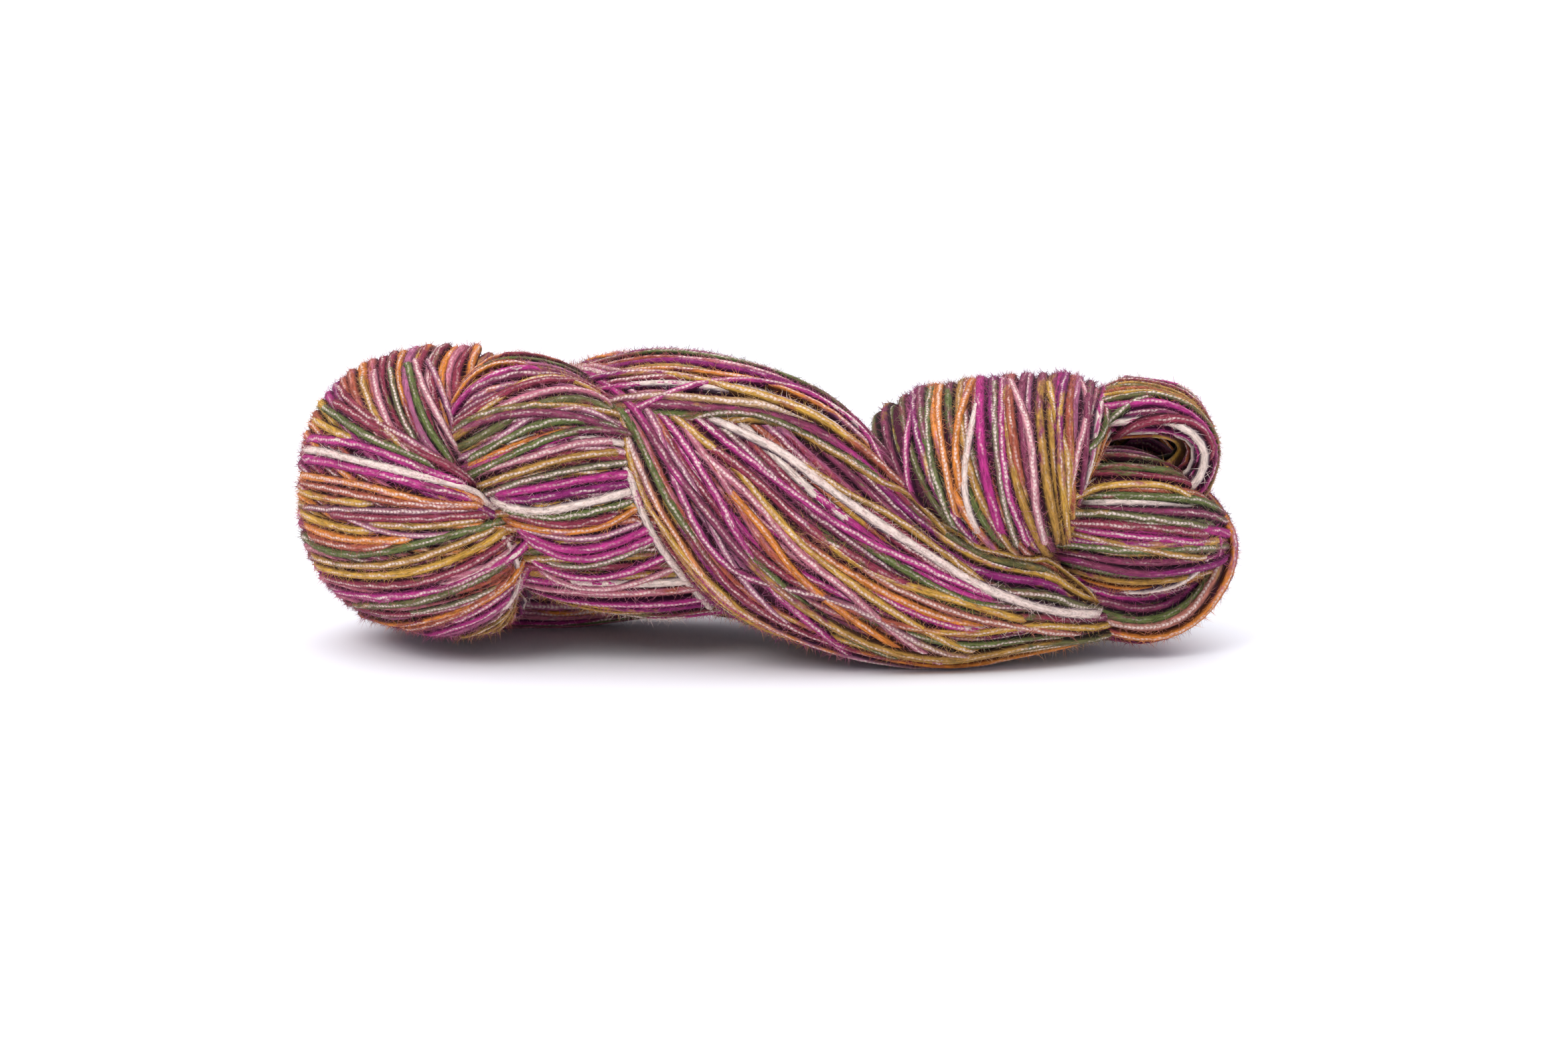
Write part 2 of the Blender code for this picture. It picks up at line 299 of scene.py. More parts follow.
def lay_strands(band, count, twist, seed):
    """Strands round a tow, as places [section, strand], with what each needs to be drawn.
    Half of them lie on its inner side and half on its outer, and twist turns them all."""
    rng = np.random.default_rng(seed)
    travel = np.linalg.norm(np.diff(band.middles, axis=0), axis=1)
    along = np.concatenate([[0.0], np.cumsum(travel)])
    riders = round(count * RIDERS)
    rides = np.arange(count + riders) >= count
    index = np.concatenate([np.arange(count), rng.uniform(0, count, riders)])
    own_drift = wander(rng, along, count + riders, *DRIFT_LENGTHS)
    own_drift *= np.where(rides, RIDER_DRIFT, DRIFT)
    drift = sway(rng, along, index / count) * count + own_drift
    lift = wander(rng, along, count + riders, *LIFT_LENGTHS) * LIFT
    lift = (lift + rng.normal(0.0, LIFT_SPREAD, count + riders)
            + np.where(rides, RIDER_LIFT, 0.0))
    # ranks go up in fives out of eight, so that neighbours don't sink together
    rank = np.where(rides, -1.0, (index * 5 % 8 + rng.uniform(0.0, 1.0, count + riders)) / 8)
    thickness = STRAND_RADIUS * rng.uniform(*RADIUS_SPREAD, count + riders)
    thickness = thickness * (1 + SWELLING * wander(rng, along, count + riders, *SWELL_LENGTHS))
    places = np.zeros((len(along), count + riders, 3))
    outward = np.zeros_like(places)
    for row, middle in enumerate(band.middles):
        reach = np.linalg.norm(band.reaches[row])
        half_width = max(reach - STRAND_RADIUS, THINNEST)
        half_thick = max(band.thicks[row] - STRAND_RADIUS, THINNEST)
        across, out, slope_across, slope_out, length = round_section(half_width, half_thick)
        turn = ((index + 0.5 + drift[row]) / count + twist * along[row]) % 1.0
        inner_half = length[OUTLINE_STEPS // 2]
        outer_half = length[OUTLINE_STEPS] - inner_half
        at = np.where(turn < 0.5, turn * 2 * inner_half,
                      inner_half + (turn - 0.5) * 2 * outer_half)
        pitch = np.where(turn < 0.5, inner_half, outer_half) * 2 / count
        room = pitch / (2 * STRAND_RADIUS * SQUASHED)
        sunk = smooth_step(rank - room, *SINKING) * SUNK
        width_way = band.reaches[row] / reach
        thick_way = band.faces[row]
        thickness[row] *= np.clip(room, *FITTED)
        outward[row] = (np.interp(at, length, slope_across)[:, None] * width_way
                        + np.interp(at, length, slope_out)[:, None] * thick_way)
        places[row] = (middle
                       + np.interp(at, length, across)[:, None] * width_way
                       + np.interp(at, length, out)[:, None] * thick_way
                       + (lift[row] - sunk)[:, None] * outward[row])
    places[..., 2] = np.maximum(places[..., 2], thickness)    # pressed flat by the table
    dye = (rng.random(count + riders)
           + along[:, None] / DYE_REPEAT * rng.choice([-1, 1], count + riders))
    pale = (rng.beta(*PALENESS, count + riders)
            + PALE_DRIFT * wander(rng, along, count + riders, *PALE_LENGTHS))
    return Strands(places * MM, outward, thickness * MM, dye, np.clip(pale, 0.0, 1.0))


def add_node(tree, kind, inputs=None, **settings):
    """Adds a node with its settings, and fills its inputs with values or other sockets."""
    node = tree.nodes.new(kind)
    for name, value in settings.items():
        setattr(node, name, value)
    for name, value in (inputs or {}).items():
        if isinstance(value, bpy.types.NodeSocket):
            tree.links.new(value, node.inputs[name])
        else:
            node.inputs[name].default_value = value
    return node


def strand_guides(name, bundles):
    """Strands' middle lines as a mesh of edges, carrying what each point of them needs."""
    edges = []
    used = 0
    for strands in bundles:
        rows, count = strands.dye.shape
        numbers = np.arange(rows * count).reshape(rows, count) + used
        edges += np.stack([numbers[:-1].T, numbers[1:].T], axis=-1).reshape(-1, 2).tolist()
        used += rows * count
    places = np.vstack([strands.places.reshape(-1, 3) for strands in bundles])
    mesh = bpy.data.meshes.new(name)
    mesh.from_pydata(places.tolist(), edges, [])
    for label in ("thickness", "dye", "pale"):
        values = np.concatenate([getattr(strands, label).reshape(-1) for strands in bundles])
        mesh.attributes.new(label, "FLOAT", "POINT").data.foreach_set("value", values)
    ways = np.concatenate([strands.outward.reshape(-1) for strands in bundles])
    mesh.attributes.new("outward", "FLOAT_VECTOR", "POINT").data.foreach_set("vector", ways)
    return mesh


def start_tree(name, inputs, output):
    """A Geometry Nodes tree with its named inputs, and the node that hands them out."""
    tree = bpy.data.node_groups.new(name, "GeometryNodeTree")
    tree.is_modifier = True
    for label, kind in inputs.items():
        tree.interface.new_socket(label, in_out="INPUT", socket_type="NodeSocket" + kind)
    tree.interface.new_socket(output, in_out="OUTPUT", socket_type="NodeSocketGeometry")
    return tree, add_node(tree, "NodeGroupInput")


def end_tree(tree, geometry, material, output):
    """Ends a tree in a plain mesh with its material, because instances can't be exported."""
    real = add_node(tree, "GeometryNodeRealizeInstances", {"Geometry": geometry})
    dressed = add_node(tree, "GeometryNodeSetMaterial",
                       {"Geometry": real.outputs["Geometry"], "Material": material})
    add_node(tree, "NodeGroupOutput", {output: dressed.outputs["Geometry"]})


def build_sweep_tree():
    """Sweeps a round cord along every line of the guides."""
    tree, given = start_tree("Strand sweep", {"Guides": "Geometry", "Step": "Float",
                                              "Sides": "Int", "Material": "Material"}, "Strands")
    lines = add_node(tree, "GeometryNodeMeshToCurve", {"Mesh": given.outputs["Guides"]})
    even = add_node(tree, "GeometryNodeResampleCurve", mode="LENGTH",
                    inputs={"Curve": lines.outputs["Curve"], "Length": given.outputs["Step"]})
    outward = add_node(tree, "GeometryNodeInputNamedAttribute", {"Name": "outward"},
                       data_type="FLOAT_VECTOR")
    turned = add_node(tree, "GeometryNodeSetCurveNormal", mode="FREE",
                      inputs={"Curve": even.outputs["Curve"],
                              "Normal": outward.outputs["Attribute"]})
    place = add_node(tree, "GeometryNodeSplineParameter")
    way = add_node(tree, "GeometryNodeInputTangent")
    noted = add_node(tree, "GeometryNodeCaptureAttribute")
    noted.capture_items.new("FLOAT", "Length")
    noted.capture_items.new("VECTOR", "Way")
    tree.links.new(turned.outputs["Curve"], noted.inputs["Geometry"])
    tree.links.new(place.outputs["Length"], noted.inputs["Length"])
    tree.links.new(way.outputs["Tangent"], noted.inputs["Way"])
    circle = add_node(tree, "GeometryNodeCurvePrimitiveCircle",
                      {"Resolution": given.outputs["Sides"], "Radius": 1.0})
    seam_inside = add_node(tree, "GeometryNodeTransform",
                           {"Geometry": circle.outputs["Curve"], "Rotation": (0.0, 0.0, pi)})
    around = add_node(tree, "GeometryNodeCaptureAttribute")
    around.capture_items.new("FLOAT", "Around")
    tree.links.new(seam_inside.outputs["Geometry"], around.inputs["Geometry"])
    tree.links.new(place.outputs["Factor"], around.inputs["Around"])
    thickness = add_node(tree, "GeometryNodeInputNamedAttribute", {"Name": "thickness"},
                         data_type="FLOAT")
    cords = add_node(tree, "GeometryNodeCurveToMesh",
                     {"Curve": noted.outputs["Geometry"],
                      "Profile Curve": around.outputs["Geometry"],
                      "Scale": thickness.outputs["Attribute"], "Fill Caps": True})
    flat_place = add_node(tree, "ShaderNodeCombineXYZ",
                          {"X": around.outputs["Around"], "Y": noted.outputs["Length"]})
    mapped = add_node(tree, "GeometryNodeStoreNamedAttribute", data_type="FLOAT2",
                      domain="CORNER",
                      inputs={"Geometry": cords.outputs["Mesh"], "Name": "UVMap",
                              "Value": flat_place.outputs["Vector"]})
    pointed = add_node(tree, "GeometryNodeStoreNamedAttribute", data_type="FLOAT_VECTOR",
                       domain="POINT",
                       inputs={"Geometry": mapped.outputs["Geometry"], "Name": "way",
                               "Value": noted.outputs["Way"]})
    smooth = add_node(tree, "GeometryNodeSetShadeSmooth",
                      {"Geometry": pointed.outputs["Geometry"]})
    end_tree(tree, smooth.outputs["Geometry"], given.outputs["Material"], "Strands")
    return tree


def grow(name, source, tree, inputs):
    """Runs a Geometry Nodes tree on a source mesh and keeps the result as a plain mesh."""
    carrier = bpy.data.objects.new(name, source)
    bpy.context.scene.collection.objects.link(carrier)
    grower = carrier.modifiers.new("Grow", "NODES")
    grower.node_group = tree
    for item in tree.interface.items_tree:
        if item.in_out == "INPUT" and item.name in inputs:
            grower[item.identifier] = inputs[item.name]
    carrier.update_tag()
    bpy.context.view_layer.update()
    seen = carrier.evaluated_get(bpy.context.evaluated_depsgraph_get())
    grown = bpy.data.meshes.new_from_object(seen)
    carrier.modifiers.clear()
    carrier.data = grown
    grown.name = name
    bpy.data.meshes.remove(source)
    return carrier


def linear(hex_colour):
    """An sRGB hex colour as linear values."""
    channels = [int(hex_colour[place:place + 2], 16) / 255 for place in (1, 3, 5)]
    return tuple(c / 12.92 if c <= 0.04045 else ((c + 0.055) / 1.055) ** 2.4
                 for c in channels) + (1.0,)


DYES = {
    "magenta": "#B0327A",
    "deep_magenta": "#892666",
    "plum": "#823A54",
    "mauve": "#AA6080",
    "burgundy": "#8C3548",
    "olive": "#66643C",
    "moss": "#626C3A",
    "ochre": "#B0843E",
    "mustard": "#C69840",
    "orange": "#D27F32",
    "rust": "#A65540",
    "cream": "#E4CFC2",
    "rose": "#BE6E80",
}
DYE_ORDER = ["magenta", "plum", "ochre", "olive", "burgundy", "mauve", "orange", "burgundy",
             "moss", "plum", "deep_magenta", "mustard", "rust", "rose", "cream"]
DYE_CHANGE = 0.35        # share of a dye's stretch in which it runs into the next
DYE_SHIFT = 0.09         # turns of the dyes, how far a patch is ahead of or behind the rest
PATTERN_SHIFT = 37.0     # how far the noise moves on with the dyes, so that no strands match
CHAIN_WIDTH = 0.7        # mm, the line of stitches that shows along a strand
CHAIN_FRAY = 2.2         # half widths of it by which stray fibres break its edge
STITCH_PITCH = 1.2       # mm between stitches of the knitted tube
STITCH_SLANT = 6.0       # stitches that one would lean by, if it went right round a strand
# the tube's pale stitches, partly real and partly a painted highlight: drawn only along each
# strand's top
STITCH_HIGHLIGHT_COLOUR = "#E8D2C8"
VEIL_COLOUR = "#E2C8BC"     # the tube's haze over a pale strand
GROOVE_SHADE_COLOUR = "#42224A"   # painted shade: multiplies the dye down a strand's sides, where two strands meet
SHEEN_COLOUR = "#E8C8D0"


def dye_colour(tree, shift):
    """The dye at each place of a strand, its edge feathered by a shift of the dye's turn."""
    dye = add_node(tree, "ShaderNodeAttribute", attribute_name="dye")
    feathered = add_node(tree, "ShaderNodeMath", {0: dye.outputs["Fac"], 1: shift},
                         operation="ADD")
    turn = add_node(tree, "ShaderNodeMath", {0: feathered.outputs["Value"]}, operation="FRACT")
    ramp = add_node(tree, "ShaderNodeValToRGB", {"Fac": turn.outputs["Value"]})
    stretch = 1 / len(DYE_ORDER)
    stops = ramp.color_ramp.elements
    for place, name in enumerate(DYE_ORDER):
        for edge in (DYE_CHANGE / 2, 1 - DYE_CHANGE / 2):
            stop = stops.new((place + edge) * stretch)
            stop.color = linear(DYES[name])
    stops.remove(stops[0])
    stops.remove(stops[-1])
    return ramp.outputs["Color"]


def along_strand(tree, across, length, seed):
    """Noise drawn out along a strand: grains across its round, each so many mm long."""
    flat_place = add_node(tree, "ShaderNodeUVMap", uv_map="UVMap")
    dye = add_node(tree, "ShaderNodeAttribute", attribute_name="dye")
    turned = add_node(tree, "ShaderNodeMath", {0: dye.outputs["Fac"], 1: PATTERN_SHIFT, 2: seed},
                      operation="MULTIPLY_ADD")
    stretched = add_node(tree, "ShaderNodeVectorMath",
                         {0: flat_place.outputs["UV"], 1: (across, 1 / (length * MM), 1.0)},
                         operation="MULTIPLY")
    noise = add_node(tree, "ShaderNodeTexNoise", noise_dimensions="4D",
                     inputs={"Vector": stretched.outputs["Vector"],
                             "W": turned.outputs["Value"], "Scale": 1.0, "Detail": 3.0,
                             "Roughness": 0.65})
    return noise.outputs["Fac"]


def start_material(name, roughness, shine):
    """A material of that roughness and shine, with its tree and shader to go on with."""
    material = bpy.data.materials.new(name)
    material.use_nodes = True
    shader = material.node_tree.nodes["Principled BSDF"]
    shader.inputs["Roughness"].default_value = roughness
    shader.inputs["Specular IOR Level"].default_value = shine
    return material, material.node_tree, shader


def blown_yarn():
    """Blown cotton and merino yarn: dyed fibres pushed into a fine knitted viscose tube.
    To the eye it is matt and soft, its dye drifting along it in patches, with the tube's
    pale stitches here and there in a thin line along the top, partly a painted highlight
    where they'd catch the light, and painted shade darkening each strand down its sides."""
    material, tree, shader = start_material("Blown yarn", 0.9, 0.15)
    pale = add_node(tree, "ShaderNodeAttribute", attribute_name="pale")
    # fibres: streaks about 0.6 mm wide and 3 mm long, as coarse as they must be to show, and
    # soft patches 12 mm long
    streaks = along_strand(tree, 17.0, 3.0, 0.0)
    patches = along_strand(tree, 2.5, 12.0, 5.0)
    shift = add_node(tree, "ShaderNodeMapRange", {"Value": patches, "To Min": -DYE_SHIFT,
                                                  "To Max": DYE_SHIFT})
    dyed = dye_colour(tree, shift.outputs["Result"])
    # stitches: a chain that wavers about the top of the strand, one link a pitch; kept to the top,
    # where it would catch the light, it is partly a painted highlight
    flat_place = add_node(tree, "ShaderNodeUVMap", uv_map="UVMap")
    parts = add_node(tree, "ShaderNodeSeparateXYZ", {"Vector": flat_place.outputs["UV"]})
    waver = add_node(tree, "ShaderNodeMapRange", {"Value": along_strand(tree, 0.0, 7.0, 9.0),
                                                  "To Min": 0.34, "To Max": 0.66})
    offset = add_node(tree, "ShaderNodeMath",
                      {0: parts.outputs["X"], 1: waver.outputs["Result"]},
                      operation="SUBTRACT")
    off_chain = add_node(tree, "ShaderNodeMath", {0: offset.outputs["Value"]},
                         operation="ABSOLUTE")
    slant = add_node(tree, "ShaderNodeMath", {0: off_chain.outputs["Value"], 1: STITCH_SLANT,
                                              2: along_strand(tree, 0.0, 2.5, 7.0)},
                     operation="MULTIPLY_ADD")
    count = add_node(tree, "ShaderNodeMath",
                     {0: parts.outputs["Y"], 1: 1 / (STITCH_PITCH * MM),
                      2: slant.outputs["Value"]}, operation="MULTIPLY_ADD")
    link = add_node(tree, "ShaderNodeMath", {0: count.outputs["Value"], 1: 0.5},
                    operation="PINGPONG")
    link_shape = add_node(tree, "ShaderNodeMapRange",
                          {"Value": link.outputs["Value"], "From Min": 0.02, "From Max": 0.36,
                           "To Min": 0.25},
                          interpolation_type="SMOOTHSTEP")
    half_chain = CHAIN_WIDTH / (4 * pi * STRAND_RADIUS)    # as a share of the way round
    spread = add_node(tree, "ShaderNodeMapRange", {"Value": pale.outputs["Fac"], "To Min": 0.8,
                                                   "To Max": 1.7})
    within = add_node(tree, "ShaderNodeMath", {0: off_chain.outputs["Value"],
                                               1: spread.outputs["Result"]},
                      operation="DIVIDE")
    frayed = add_node(tree, "ShaderNodeMath", {0: streaks, 1: -half_chain * CHAIN_FRAY,
                                               2: within.outputs["Value"]},
                      operation="MULTIPLY_ADD")
    on_top = add_node(tree, "ShaderNodeMapRange",
                      {"Value": frayed.outputs["Value"], "From Min": half_chain * 0.5,
                       "From Max": half_chain * -1.0}, interpolation_type="SMOOTHSTEP")
    reach = add_node(tree, "ShaderNodeMath", {0: pale.outputs["Fac"], 1: 0.4,
                                              2: along_strand(tree, 0.0, 9.0, 3.0)},
                     operation="MULTIPLY_ADD")
    shows = add_node(tree, "ShaderNodeMapRange",
                     {"Value": reach.outputs["Value"], "From Min": 0.44, "From Max": 0.76,
                      "To Max": 0.95}, interpolation_type="SMOOTHSTEP")
    chain = add_node(tree, "ShaderNodeMath", {0: link_shape.outputs["Result"],
                                              1: on_top.outputs["Result"]},
                     operation="MULTIPLY")
    stitch_highlight = add_node(tree, "ShaderNodeMath", {0: chain.outputs["Value"],
                                                 1: shows.outputs["Result"]},
                        operation="MULTIPLY")
    # colours: paler and darker strands, then painted shade from the top of one down into the
    # groove
    veil = add_node(tree, "ShaderNodeMapRange",
                    {"Value": pale.outputs["Fac"], "From Min": 0.58, "To Min": 0.0,
                     "To Max": 0.3}, interpolation_type="SMOOTHSTEP")
    veiled = add_node(tree, "ShaderNodeMix", data_type="RGBA",
                      inputs={0: veil.outputs["Result"], 6: dyed, 7: linear(VEIL_COLOUR)})
    past_top = add_node(tree, "ShaderNodeMath", {0: parts.outputs["X"], 1: 0.5},
                        operation="SUBTRACT")
    side = add_node(tree, "ShaderNodeMath", {0: past_top.outputs["Value"]},
                    operation="ABSOLUTE")
    # painted shade: darker down the strand's sides, away from its top
    groove = add_node(tree, "ShaderNodeMapRange",
                      {"Value": side.outputs["Value"], "From Min": 0.055, "From Max": 0.19,
                       "To Min": 0.0, "To Max": 0.95}, interpolation_type="SMOOTHSTEP")
    dark = add_node(tree, "ShaderNodeMix", data_type="RGBA", blend_type="MULTIPLY",
                    inputs={0: groove.outputs["Result"], 6: veiled.outputs[2],
                            7: linear(GROOVE_SHADE_COLOUR)})
    tone = add_node(tree, "ShaderNodeMapRange",
                    {"Value": streaks, "From Min": 0.34, "From Max": 0.66,
                     "To Min": 0.45, "To Max": 1.3})
    streaked = add_node(tree, "ShaderNodeMix", data_type="RGBA", blend_type="MULTIPLY",
                        inputs={0: 1.0, 6: dark.outputs[2], 7: tone.outputs["Result"]})
    knitted = add_node(tree, "ShaderNodeMix", data_type="RGBA",
                       inputs={0: stitch_highlight.outputs["Value"], 6: streaked.outputs[2],
                               7: linear(STITCH_HIGHLIGHT_COLOUR)})
    tree.links.new(knitted.outputs[2], shader.inputs["Base Color"])
    relief = add_node(tree, "ShaderNodeMath", {0: chain.outputs["Value"], 1: 0.3,
                                               2: streaks}, operation="MULTIPLY_ADD")
    bump = add_node(tree, "ShaderNodeBump", {"Strength": 0.7, "Distance": 0.4 * MM,
                                             "Height": relief.outputs["Value"]})
    tree.links.new(bump.outputs["Normal"], shader.inputs["Normal"])
    shader.inputs["Sheen Weight"].default_value = 0.1
    shader.inputs["Sheen Roughness"].default_value = 0.5
    shader.inputs["Sheen Tint"].default_value = linear(SHEEN_COLOUR)
    return material


YARN = blown_yarn()
SWEEP = build_sweep_tree()
YARN_PIECES = []
for seed, (name, count) in enumerate(STRAND_COUNTS.items(), start=11):
    strands = lay_strands(BANDS[name], count, TWISTS.get(name, 0.0), seed)
    guides = strand_guides(name, [strands])
    step = TIGHT_STEP if name in TIGHT_TOWS else STRAND_STEP
    piece = grow(name + "_strands", guides, SWEEP,
                 {"Step": step, "Sides": STRAND_SIDES, "Material": YARN})
    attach(piece, "root")
    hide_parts("hank")
    YARN_PIECES.append(piece)


# The strands underneath, packed in the dark: one closed, slightly smaller tube inside each tow,
# which shows only as painted shade, a deep colour between strands.

INSET = 2.1              # mm under the tow's surface
THINNEST_INSIDE = 0.3    # mm, the tube's half width where a tow's ends run out
INSIDE_SIDES = 40
DARK_PATCH = 11.1        # mm, from one patch of the dark colours to the next


def inside_tube(band):
    """Vertices and faces of a closed tube just under a tow's surface."""
    rings = []
    turns = np.linspace(0.0, 1.0, INSIDE_SIDES, endpoint=False)
    for middle, reach, face, thick in zip(*band):
        width = np.linalg.norm(reach)
        across, out, _, _, length = round_section(max(width - INSET, THINNEST_INSIDE),
                                                  max(thick - INSET, THINNEST_INSIDE))
        at = turns * length[-1]
        rings.append(middle + np.interp(at, length, across)[:, None] * reach / width
                     + np.interp(at, length, out)[:, None] * face)
    places = np.vstack(rings) * MM
    faces = []
    for row in range(len(rings) - 1):
        for side in range(INSIDE_SIDES):
            here = row * INSIDE_SIDES + side
            beside = row * INSIDE_SIDES + (side + 1) % INSIDE_SIDES
            faces.append((here, beside, beside + INSIDE_SIDES, here + INSIDE_SIDES))
    faces.append(tuple(range(INSIDE_SIDES))[::-1])
    faces.append(tuple(range(len(places) - INSIDE_SIDES, len(places))))
    return places, faces


def deep_yarn():
    """The same yarn where hardly any light reaches it: its shade painted in as a dark plum without
    shine.
    """
    material, tree, shader = start_material("Yarn in the dark", 1.0, 0.0)
    place = add_node(tree, "ShaderNodeTexCoord")
    patches = add_node(tree, "ShaderNodeTexNoise",
                       {"Vector": place.outputs["Object"], "Scale": 1 / (DARK_PATCH * MM),
                        "Detail": 2.0})
    shade = add_node(tree, "ShaderNodeMix", data_type="RGBA",
                     inputs={0: patches.outputs["Fac"], 6: linear("#40202F"),
                             7: linear("#5E3040")})
    tree.links.new(shade.outputs[2], shader.inputs["Base Color"])
    return material


inside_places = []
inside_faces = []
for band in BANDS.values():
    places, faces = inside_tube(band)
    inside_faces += [tuple(v + len(inside_places) for v in face) for face in faces]
    inside_places += places.tolist()
inside_mesh = bpy.data.meshes.new("packed_inside")
inside_mesh.from_pydata(inside_places, [], inside_faces)
inside_mesh.materials.append(deep_yarn())
inside_mesh.shade_smooth()
packed_inside = bpy.data.objects.new("packed_inside", inside_mesh)
bpy.context.scene.collection.objects.link(packed_inside)
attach(packed_inside, "root")
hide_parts("hank")


# Strands that catch the eye in the photograph, pale ones above all, and a few that have slipped
# out of line. Each is charted as the camera sees it, in mm across and up through the middle of
# the hank, and laid on the strands beneath.

CAMERA_DISTANCE = 1.060
CAMERA_RISE = radians(12.0)
CAMERA_AIM = Vector((4.69 * MM, -3.81 * MM, 37.5 * MM))
AIM_ACROSS = 5.14        # mm, where the camera's aim lies in the chart
AIM_UP = 36.7
CHART_STEP = 2.0         # mm between the places at which a charted strand is laid
SMOOTHING = 2            # steps to each side over which its places are evened out
RISE = 1.35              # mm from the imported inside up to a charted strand's middle
DIVE = 5.0               # mm, how deep its ends go in between the others
DIVE_LENGTH = 11.0       # mm from its end to where it is up again
WALK = 6                 # steps that it goes on beyond its chart, round or under the yarn
CHARTED_PALE = 0.8       # share of the paleness charted that is used
CHARTED_DRIFT = 0.25     # share of its dye's stretch that its dye wanders to and fro
CHARTED_LENGTHS = (30.0, 90.0)  # mm, shortest and longest wave of that
CHARTED_STEP = 2.2 * MM  # between the rings of its mesh
CHARTED_SIDES = 10

Seen = namedtuple("Seen", "dye pale radius path")

